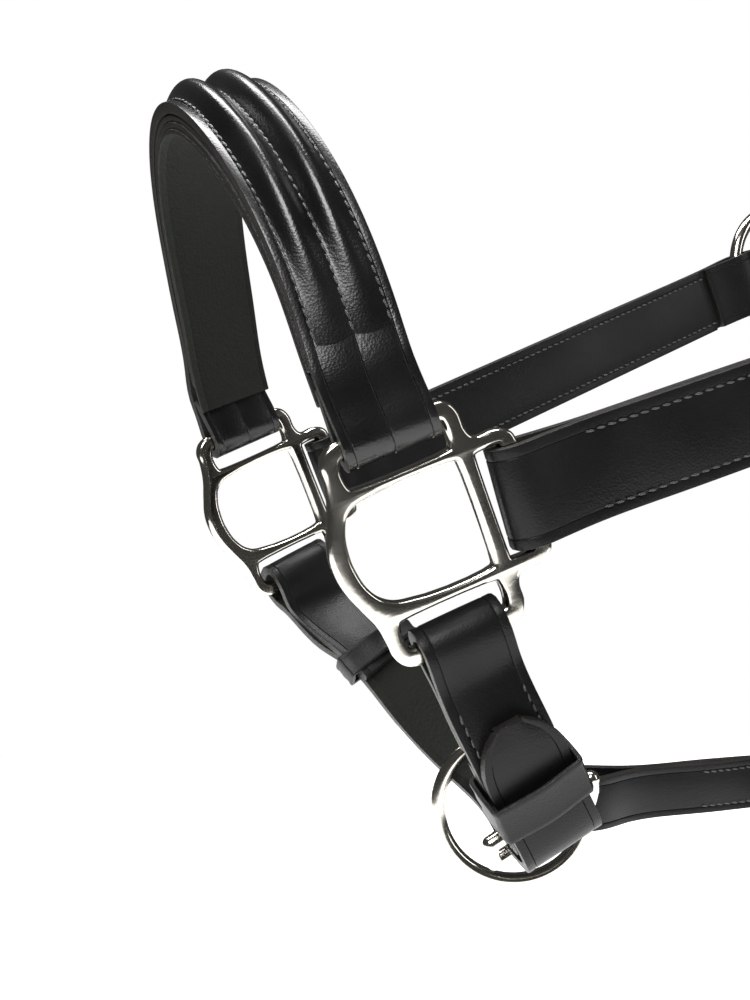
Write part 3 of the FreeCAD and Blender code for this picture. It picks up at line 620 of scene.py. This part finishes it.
print("near chin strap", round(CHIN_LONG), "mm, heel at", round(heel_at))

# %% Far chin strap, the billet
CHIN_FOLD = math.radians(33.0)
frame_a = heel.a * math.cos(CHIN_FOLD) - heel.n * math.sin(CHIN_FOLD)
frame_n = heel.n * math.cos(CHIN_FOLD) + heel.a * math.sin(CHIN_FOLD)
buckle_bench = Bench(A_PATH[4], frame_a, frame_n)
if buckle_bench.b.dot(heel.b) < 0:
    buckle_bench.b = -buckle_bench.b
far_start = strap_bench(far_bar, spot(-1.7, -39, 56), far_side.a, far_side.n)
billet_points = [far_start.at(11), far_start.at(16), spot(5, -53, 41), spot(9, -70, 27.5),
                 spot(14.2, -88, 14), spot(17, -99, -2), spot(13.5, -102.5, -18),
                 buckle_bench.at(28, 0, -4.6), buckle_bench.at(21, 0, -2.6), buckle_bench.at(12, 0, 3.2),
                 heel.at(4.5, 0, 7.9), heel.at(-2.5, 0, 8.0), heel.at(-9.5, 0, 6.7),
                 heel.at(-16, 0, 5.6)]
billet_points += [spot(-2.2, -54.5, -67.2) + (heel.n + near_start.n) * 3.25 * MM,
                  spot(-2.8, -47.5, -67.6) + near_start.n * 6.5 * MM]
WIDE_KEYS = [(0.0, far_start.b), (0.08, far_start.b), (0.6, buckle_bench.b), (0.8, heel.b), (0.88, heel.b),
             (1.0, near_start.b)]


def billet_across(t):
    for (t0, d0), (t1, d1) in zip(WIDE_KEYS[:-1], WIDE_KEYS[1:]):
        if t <= t1:
            share = (t - t0) / (t1 - t0)
            return d0 * (1 - share) + d1 * share
    return WIDE_KEYS[-1][1]


path = Run([(p, billet_across(t)) for p, t in zip(billet_points, shares(billet_points))])
outward(path, 5, far_side.n)
PATH_LONG = path.length / MM
far_turn = turn_round(lambda a, n: far_start.at(a, 0, n), 0.0, 1, 4.25, 7.6, taper=7.0)
under = along_run(path, (34, 20), -3.04)
over = along_run(path, np.linspace(12, PATH_LONG, 26), 0.0)
stops = under + [(p, far_start.b) for p in far_turn[1:-1]] + over
billet_run = outward(Run(stops), Run(stops).length / MM * 0.4, far_side.n)
BILLET_LONG = billet_run.length / MM
ring_pass = BILLET_LONG - PATH_LONG
piece = blank("far_chin_billet", 0, BILLET_LONG, CHIN_W, (-8.5, 8.5))
point_tip(piece, BILLET_LONG, 13.0, 0.35)
tongue_hole = ring_pass + path.stop_s[9] / MM
cut_slot(piece, tongue_hole - 5, tongue_hole + 6, 2.0)
fit(make_up(piece, billet_run, 2.9), stands_for=("far_chin_strap",))
face = Run(along_run(path, np.linspace(4, 44, 6), 1.5), path.side)
fit(stitching("far_chin_stitches", face, (-8.5, 8.5), 2, 30, 0.0))
print("billet", round(BILLET_LONG), "mm")

# %% [markdown]
# A keeper is a narrow strip wrapped round the straps and sewn to itself behind. It is modelled as a
# closed band: a cylinder with its caps taken off, squared to the stack by moving its sides in code, then
# given its thickness and soft edges.

# %% Keepers
def band_round(name, bench, start, stop, low, high, width, wall=1.6, stands_for=(), body="headcollar"):
    """Closed band round a stack of straps, on a flat bench, its walls just outside the stack."""
    bpy.ops.object.select_all(action="DESELECT")
    bpy.ops.mesh.primitive_cylinder_add(vertices=72, radius=1.0, depth=1.0, end_fill_type="NOTHING")
    piece = bpy.context.object
    piece.name = piece.data.name = name
    bpy.ops.object.mode_set(mode="EDIT")
    for cut in (-0.38, -0.3, 0.0, 0.3, 0.38):
        bpy.ops.mesh.select_all(action="SELECT")
        bpy.ops.mesh.bisect(plane_co=(0, 0, cut), plane_no=(0, 0, 1))
    bpy.ops.object.mode_set(mode="OBJECT")
    half, mid, tall = width / 2 + 0.3 + wall / 2, (low + high) / 2, (high - low) / 2 + 0.3 + wall / 2
    corner = min(1.8, tall * 0.8)
    for vertex in piece.data.vertices:
        angle = math.atan2(vertex.co.y, vertex.co.x)
        c, s = math.cos(angle), math.sin(angle)
        reach = min((half - corner) / max(abs(c), 1e-6), (tall - corner) / max(abs(s), 1e-6))
        x, y = c * reach + corner * c, s * reach + corner * s
        groove = -0.18 if abs(abs(vertex.co.z) - 0.3) < 0.01 and abs(s) > 0.15 else 0.0
        a = start + (stop - start) * (vertex.co.z + 0.5)
        vertex.co = bench.at(a, x * (1 + groove / half), mid + y * (1 + groove / tall))
    for finish in (STRAP, LINING, EDGE):
        piece.data.materials.append(finish)
    only(piece)
    bpy.ops.object.mode_set(mode="EDIT")
    bpy.ops.mesh.select_all(action="SELECT")
    bpy.ops.mesh.normals_make_consistent(inside=False)
    bpy.ops.object.mode_set(mode="OBJECT")
    finish_with(piece, "SOLIDIFY", thickness=wall * MM, offset=0.0, material_offset=1, material_offset_rim=2)
    finish_with(piece, "BEVEL", width=0.4 * MM, segments=2, limit_method="ANGLE",
                angle_limit=math.radians(50))
    only(piece)
    bpy.ops.object.mode_set(mode="EDIT")
    bpy.ops.mesh.select_all(action="SELECT")
    bpy.ops.mesh.normals_make_consistent(inside=False)
    bpy.ops.object.mode_set(mode="OBJECT")
    bpy.ops.object.shade_smooth_by_angle(angle=math.radians(38))
    return fit(piece, body, stands_for=stands_for)


band_round("near_chin_loop", heel, -18.5, -7.0, -4.0, 9.2, CHIN_W + 1.0, 1.2, ("near_chin_keeper",))
far_bench = strap_bench(spot(5, -53, 41), spot(9, -70, 27.5), far_side.a, far_side.n)
band_round("far_chin_loop", far_bench, -2.0, 6.0, -5.2, 2.2, CHIN_W + 2.0, 1.6, ("far_chin_keeper",))

# %% [markdown]
# ## The jowl strap
# It goes back under the jaw from the chin ring to the throat strap, doubled at both ends. At the ring it
# stands on edge, and it turns flat before it reaches the throat.

# %% Jowl strap
JOWL_W = 15.5
THROAT_LOW = spot(188, -178, 0)
ring_middle = spot(16.5, -105, 0)
RING_TURN = math.radians(22.0)
sag = 22.7 - math.sqrt(22.7 ** 2 - (JOWL_W / 2 + 3.0) ** 2)
ring_back = ring_middle + Vector((math.cos(RING_TURN), -math.sin(RING_TURN), 0)) * (22.7 - sag / 2) * MM
ring_back += Vector((0, 0, 3.0)) * MM
jowl_front = Bench(ring_back, (180.0, 8.5, -8.0), (0, -1, 0))
jowl_rear = Bench(THROAT_LOW, (1, 0, -0.03), (0, 0, 1))
jowl_points = [jowl_front.at(40), jowl_front.at(50), jowl_front.at(72), jowl_front.at(96), jowl_rear.at(-46),
               jowl_rear.at(-38)]


def jowl_across(t):
    turn = math.radians(90) * min(1.0, max(0.0, (t - 0.3) / 0.6))
    return Vector((0, math.sin(turn), math.cos(turn)))


jowl_stops = [(p, jowl_across(t)) for p, t in zip(jowl_points, shares(jowl_points))]
jowl_mid = outward(Run(jowl_stops), 5, (0, -1, 0))
JOWL_LONG = jowl_mid.length / MM
front_turn = turn_round(lambda a, n: jowl_front.at(a, 0, n), 0.0, 1, 4.1, 4.6 + sag + 2.2)
rear_turn = turn_round(lambda a, n: jowl_rear.at(a, 0, n), 0.0, -1, 2.5, 19.5)
for layer, rise in (("outer", 1.54), ("inner", -1.54)):
    middle_stop = len(front_turn) // 2
    half_front = front_turn[middle_stop:] if rise > 0 else front_turn[:middle_stop + 1][::-1]
    half_rear = rear_turn[len(rear_turn) // 2:] if rise > 0 else rear_turn[:len(rear_turn) // 2 + 1][::-1]
    stops = [(p, jowl_front.b) for p in half_front]
    stops += along_run(jowl_mid, np.linspace(4, JOWL_LONG - 4, 9), rise)
    stops += [(p, Vector((0, 1, 0))) for p in half_rear[::-1]]
    run = outward(Run(stops), 60, (0, -1, 0))
    piece = blank("jowl_strap_" + layer, 0, run.length / MM, JOWL_W, (-5.8, 5.8))
    fit(make_up(piece, run), stands_for=("jowl_strap",) if rise > 0 else ())
    face_rise = 3.02 if rise > 0 else -3.02
    face = Run(along_run(jowl_mid, np.linspace(2, JOWL_LONG - 2, 9), face_rise), jowl_mid.side)
    fit(stitching("jowl_stitches_" + layer, face, (-5.4, 5.4), 0, JOWL_LONG - 6, 0.0))

# %% [markdown]
# ## The throat strap
# It hangs from the far throat ring, passes under the throat through the jowl strap's loop, and comes up
# the near side to the eye of the snap.

# %% Throat strap
THROAT_W, SNAP_EYE = 17.5, 72.0


def drop_bench(bench):
    hang = Vector((0, 0, -1))
    hang = hang - bench.n * bench.n.dot(hang)
    return Bench(bench.at(CHEEK_LEN), hang, bench.n)


near_drop, far_drop = drop_bench(near_cheek), drop_bench(far_cheek)


def bottom_curve(start, angle):
    phi, reach = math.radians(angle), start - THROAT_LOW
    return Vector((THROAT_LOW.x + reach.x * math.cos(phi), reach.y * math.cos(phi),
                   start.z + (THROAT_LOW.z - start.z) * math.sin(phi)))


near_hang, far_hang = near_drop.at(SNAP_EYE + 30), far_drop.at(62)
throat_points = [near_drop.at(SNAP_EYE + 22), near_hang]
throat_points += [bottom_curve(near_hang, angle) for angle in (35, 65)]
throat_points += [THROAT_LOW - ACROSS * 12 * MM, THROAT_LOW, THROAT_LOW + ACROSS * 12 * MM]
throat_points += [bottom_curve(far_hang, angle) for angle in (65, 35)] + [far_hang, far_drop.at(54)]
throat_mid = Run([(p, Vector((1, 0, 0))) for p in throat_points])
outward(throat_mid, throat_mid.length / MM / 2, (0, 0, -1))
THROAT_LONG = throat_mid.length / MM
near_turn = turn_round(lambda a, n: near_drop.at(a, 0, n), SNAP_EYE, 1, 2.3, 4.8, layer=2.6, taper=9.0)
ring_turn = turn_round(lambda a, n: far_drop.at(a, 0, n), RING_SIDE, 1, 2.8, RING_SAG + 6.8, layer=2.6)
fore = Vector((1, 0, 0))
stops = [(near_drop.at(SNAP_EYE + 21, 0, -1.5), fore)] + [(p, fore) for p in near_turn[:-1]]
stops += along_run(throat_mid, np.linspace(6, THROAT_LONG - 6, 26), 0.0)
stops += [(p, fore) for p in ring_turn[1:][::-1]]
throat_run = outward(Run(stops), Run(stops).length / MM / 2, (0, 0, -1))
piece = blank("throat_strap_folded", 0, throat_run.length / MM, THROAT_W, (-7.0, 7.0))
fit(make_up(piece, throat_run, 2.5), stands_for=("throat_strap",))

# %% [markdown]
# ## The crown
# A strap goes over the poll with a soft lining under it. Each end is a billet with holes, buckled to a
# short chape that hangs on the throat ring, with a fixed keeper and a sliding one.

# %% Chapes, crown strap and lining
CHAPE_LEN = 92.0


def chape_bench(bench):
    turn, lean = math.radians(50), math.radians(13)
    level = bench.a * math.cos(turn) + bench.b * math.sin(turn)
    a = level * math.cos(lean) - bench.n * math.sin(lean)
    made = Bench(bench.at(CHEEK_LEN) + (level - a) * RING_SIDE * MM, a, bench.n)
    return made


near_up, far_up = chape_bench(near_cheek), chape_bench(far_cheek)
for name, up in (("near", near_up), ("far", far_up)):
    def place(a, n):
        return up.at(a, 0, n)
    ring_end = turn_round(place, RING_SIDE, 1, 3.7, RING_SAG + 6.8)
    bar_end = turn_round(place, CHAPE_LEN, -1, 2.45, 5.0, layer=2.4, taper=10.0)
    points = [place(a, -1.54) for a in (58, 50)] + ring_end
    points += [place(a, 1.54) for a in (52, 60, 68)] + bar_end[::-1]
    points += [place(a, -1.54) for a in (74, 66, 59)]
    run = outward(Run([(p, up.b) for p in points]), 60, up.n)
    turned = run.stop_s[2 + len(ring_end) + 3 + len(bar_end) // 2] / MM
    piece = blank(name + "_chape_strap", 0, run.length / MM, CHEEK_W, (-9.6, 9.6))
    cut_slot(piece, turned - 12, turned + 12, 2.7)
    fit(make_up(piece, run, 2.9), stands_for=(name + "_buckle_chape",))
    band_round(name + "_crown_loop", up, 70.0, 77.0, -3.0, 7.3, CHEEK_W, 2.0, (name + "_crown_keeper",))
    band_round(name + "_sliding_loop", up, 50.0, 57.0, -3.0, 6.5, CHEEK_W, 2.0, (name + "_crown_runner",),
               name + "_runner")

CROWN_LIFT, SEAT, TIP = 4.3, -2.4, 44.0
crown_points = [near_up.at(122, 0, SEAT - 0.4 - CROWN_LIFT), near_up.at(130, 0, SEAT - 0.4 - CROWN_LIFT),
                spot(348, 101, -68), spot(367, 121.5, -38), Vector((0, 0, 0)), spot(367, 121.5, 38),
                spot(348, 101, 68), far_up.at(130, 0, SEAT - 0.4 - CROWN_LIFT),
                far_up.at(122, 0, SEAT - 0.4 - CROWN_LIFT)]
ends_b = near_up.b, (far_up.b if far_up.b.dot(near_up.b) > 0 else -far_up.b)


def crown_across(t):
    top = ABOVE * 0.66 - ALONG * 0.75
    if t < 0.5:
        return ends_b[0] * (1 - 2 * t) + top * (2 * t)
    return top * (2 - 2 * t) + ends_b[1] * (2 * t - 1)


crown_mid = Run([(p, crown_across(t)) for p, t in zip(crown_points, shares(crown_points))])
outward(crown_mid, crown_mid.length / MM / 2, (0, 0, 1))
CROWN_LONG = crown_mid.length / MM
billet_profile = [(TIP, 4.9), (56, 4.9), (68, 4.9), (78, 5.6), (87, 7.3), (93, 7.2), (98, 5.6), (111, -0.9),
                  (116, SEAT)]
stops = [(near_up.at(a, 0, n), ends_b[0]) for a, n in billet_profile]
stops += along_run(crown_mid, np.linspace(0, CROWN_LONG, 18), CROWN_LIFT)
stops += [(far_up.at(a, 0, n), ends_b[1]) for a, n in billet_profile[::-1]]
crown_run = outward(Run(stops), Run(stops).length / MM / 2, (0, 0, 1))
ALL_CROWN = crown_run.length / MM


def crown_spread(x):
    share = min(1.0, max(0.0, (x / MM - 78) / (ALL_CROWN - 156)))
    return 1.0 + 7.0 / CHEEK_W * math.sin(math.pi * share) ** 2


piece = blank("crown_main_strap", 0, ALL_CROWN, CHEEK_W, (-9.6, 9.6))
point_tip(piece, 0.0, -13.0, 0.3)
point_tip(piece, ALL_CROWN, 13.0, 0.3)
hole_at = crown_run.stop_s[6] / MM
for middle in (hole_at + 2, ALL_CROWN - hole_at - 2):
    cut_slot(piece, middle - 6, middle + 6, 2.1)
fit(make_up(piece, crown_run, 2.9, spread=crown_spread), stands_for=("crown_strap",))
pad_run = Run(along_run(crown_mid, np.linspace(0, CROWN_LONG, 18), 1.25), crown_mid.side)
piece = blank("crown_soft_lining", CROWN_LONG * 0.14, CROWN_LONG * 0.86, CHEEK_W + 2.0, (-11.0, 11.0), 0.3)


def pad_spread(x):
    return 1.0 + 7.0 / CHEEK_W * math.sin(math.pi * min(1.0, max(0.0, x / MM / CROWN_LONG))) ** 2


fit(make_up(piece, pad_run, 2.3, 1.0, (LINING, LINING, EDGE), pad_spread),
    stands_for=("crown_lining",))
crown_face = Run(along_run(crown_mid, np.linspace(0, CROWN_LONG, 18), 5.8), crown_mid.side)
fit(stitching("crown_stitches", crown_face,
              (-9.6, 9.6), CROWN_LONG * 0.1, CROWN_LONG * 0.9, 0.0, spread=pad_spread))

# %% [markdown]
# ## The cast fittings
# Each fitting is one casting: a window, a bowed front bar that swings into two ears, and three arms that
# the straps fold round. A flat curve with holes gives such an outline, and its bevel rounds every bar.

# %% Cast fittings
FRONT = [(-11.5, 28.0), (-17.0, 27.6), (-20.0, 24.8), (-20.5, 20.5), (-21.6, 15.5), (-23.8, 10.0),
         (-25.6, 5.0),
         (-26.0, 0.0), (-25.1, -5.5), (-23.0, -11.0), (-21.0, -16.0), (-20.2, -21.0), (-19.6, -25.0),
         (-17.0, -27.6), (-11.5, -28.0)]
REAR = [(8.0, -28.0), (11.6, -27.4), (13.8, -24.5), (14.4, -19.0), (15.6, -17.3), (21.0, -16.9),
        (24.2, -15.2),
        (25.0, -13.0), (25.0, 13.0), (24.2, 15.2), (21.0, 16.9), (15.6, 17.3), (14.4, 19.0), (13.8, 24.5),
        (11.6, 27.4), (8.0, 28.0)]
WINDOW = [(-14.0, 13.3), (9.4, 13.5), (9.9, 12.9), (9.9, -12.6), (9.4, -13.2), (-12.8, -12.4), (-16.8, -10.6),
          (-19.6, -7.0), (-21.1, -1.5), (-21.2, 3.0), (-20.0, 8.6), (-17.8, 12.0)]
ARM_SLOT = [(-15.9, 17.2), (-15.4, 16.7), (8.9, 16.7), (9.4, 17.2), (9.4, 23.1), (8.9, 23.6), (-15.1, 23.6),
            (-15.9, 22.8)]
CHEEK_SLOT = [(14.6, 13.1), (14.4, 12.8), (14.4, -12.8), (14.6, -13.1), (20.4, -13.1), (20.6, -12.8),
              (20.6, 12.8),
              (20.4, 13.1)]


def cast_fitting(name, bench, stands_for):
    bpy.ops.object.select_all(action="DESELECT")
    bpy.ops.curve.primitive_bezier_circle_add(radius=0.01)
    piece = bpy.context.object
    piece.name = piece.data.name = name
    shape = piece.data
    shape.dimensions, shape.fill_mode, shape.resolution_u = "2D", "BOTH", 5
    shape.splines.clear()
    for outline in (FRONT + REAR, WINDOW, ARM_SLOT, [(a, -b) for a, b in ARM_SLOT], CHEEK_SLOT):
        spline = shape.splines.new("BEZIER")
        spline.bezier_points.add(len(outline) - 1)
        spline.use_cyclic_u = True
        for knot, (a, b) in zip(spline.bezier_points, outline):
            knot.co = (a * MM, b * MM, 0)
            knot.handle_left_type = knot.handle_right_type = "AUTO"
    shape.extrude, shape.bevel_depth, shape.bevel_resolution = 1.05 * MM, 1.2 * MM, 4
    shape.offset = -1.2 * MM
    only(piece)
    bpy.ops.object.convert(target="MESH")
    piece = bpy.context.object
    bpy.ops.object.mode_set(mode="EDIT")
    bpy.ops.mesh.select_all(action="SELECT")
    bpy.ops.mesh.remove_doubles(threshold=0.00002)
    bpy.ops.object.mode_set(mode="OBJECT")
    for vertex in piece.data.vertices:
        a, b, n = vertex.co / MM
        vertex.co = bench.at(a, b, n)
    bpy.ops.object.mode_set(mode="EDIT")
    bpy.ops.mesh.select_all(action="SELECT")
    bpy.ops.mesh.normals_make_consistent(inside=False)
    bpy.ops.object.mode_set(mode="OBJECT")
    bpy.ops.object.shade_smooth_by_angle(angle=math.radians(35))
    piece.data.materials.clear()
    piece.data.materials.append(NICKEL)
    return fit(piece, stands_for=(stands_for,))


cast_fitting("near_cast_fitting", near_side, "near_fitting")
cast_fitting("far_cast_fitting", far_side, "far_fitting")

# %% [markdown]
# ## Metal
# The rings, buckles and snap come from the CAD as they are and only take the nickel finish.

# %% Nickel on the hardware
for name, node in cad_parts.items():
    metal_words = ("fitting", "ring", "buckle", "tongue", "snap")
    metal = "chape" not in name and any(word in name for word in metal_words)
    node.data.materials.clear()
    node.data.materials.append(NICKEL if metal else STRAP)

# %% [markdown]
# ## Floor, light and camera
# A round pale floor below, a soft key from the front left, a fill from the right and a long strip
# overhead whose reflection shows how round the rolls are.

# %% Studio
def pale(name, colour, rough):
    mat, nodes, links, shader = new_material(name, colour, rough)
    speckle = nodes.new("ShaderNodeTexNoise")
    speckle.inputs["Scale"].default_value = 60.0
    ripple = nodes.new("ShaderNodeBump")
    ripple.inputs["Strength"].default_value = 0.02
    links.new(speckle.outputs["Fac"], ripple.inputs["Height"])
    links.new(ripple.outputs["Normal"], shader.inputs["Normal"])
    return mat


bpy.ops.object.select_all(action="DESELECT")
bpy.ops.mesh.primitive_circle_add(vertices=96, radius=1.1, fill_type="NGON", location=(-0.15, 0, -0.62))
floor = bpy.context.object
floor.name = "studio_floor"
paint = pale("pale floor", (0.9, 0.9, 0.9), 0.7)
paint.node_tree.nodes["Principled BSDF"].inputs["Emission Color"].default_value = (1, 1, 1, 1)
paint.node_tree.nodes["Principled BSDF"].inputs["Emission Strength"].default_value = 1.0
floor.data.materials.append(paint)

world = bpy.data.worlds.new("studio")
world.use_nodes = True
sky, sky_links = world.node_tree.nodes, world.node_tree.links
sky["Background"].inputs["Color"].default_value = (1, 1, 1, 1)
dim = sky.new("ShaderNodeBackground")
dim.inputs["Strength"].default_value = 0.07
choose = sky.new("ShaderNodeMixShader")
seen = sky.new("ShaderNodeLightPath")
sky_links.new(seen.outputs["Is Camera Ray"], choose.inputs["Fac"])
sky_links.new(dim.outputs["Background"], choose.inputs[1])
sky_links.new(sky["Background"].outputs["Background"], choose.inputs[2])
sky_links.new(choose.outputs["Shader"], sky["World Output"].inputs["Surface"])
bpy.context.scene.world = world


def softbox(name, place, aim, size, power):
    light = bpy.data.lights.new(name, "AREA")
    light.shape, light.size, light.size_y, light.energy = "RECTANGLE", size[0], size[1], power
    lamp = bpy.data.objects.new(name, light)
    bpy.context.scene.collection.objects.link(lamp)
    lamp.location = place
    lamp.rotation_euler = (Vector(aim) - Vector(place)).to_track_quat("-Z", "Y").to_euler()
    return lamp


centre = Vector((-0.2, 0, -0.2))
softbox("key", (-1.3, -1.2, 1.1), centre, (0.9, 0.9), 40)
softbox("fill", (1.3, -1.3, 0.5), centre, (0.35, 1.5), 7)
softbox("strip", (-0.5, 0.3, 1.4), centre, (0.5, 1.6), 45)

camera_data = bpy.data.cameras.new("camera")
camera = bpy.data.objects.new("camera", camera_data)
bpy.context.scene.collection.objects.link(camera)
azimuth, elevation = math.radians(-21.01), math.radians(3.61)
back = Vector((math.sin(azimuth) * math.cos(elevation), -math.cos(azimuth) * math.cos(elevation),
               math.sin(elevation)))
camera.location = (-0.41256, -0.31426, -0.23935)
camera.rotation_euler = back.to_track_quat("Z", "Y").to_euler()
camera_data.sensor_width = 36.0
camera_data.lens = 42.68
camera_data.clip_start = 0.01
bpy.context.scene.camera = camera
bpy.context.scene.view_settings.view_transform = "Standard"
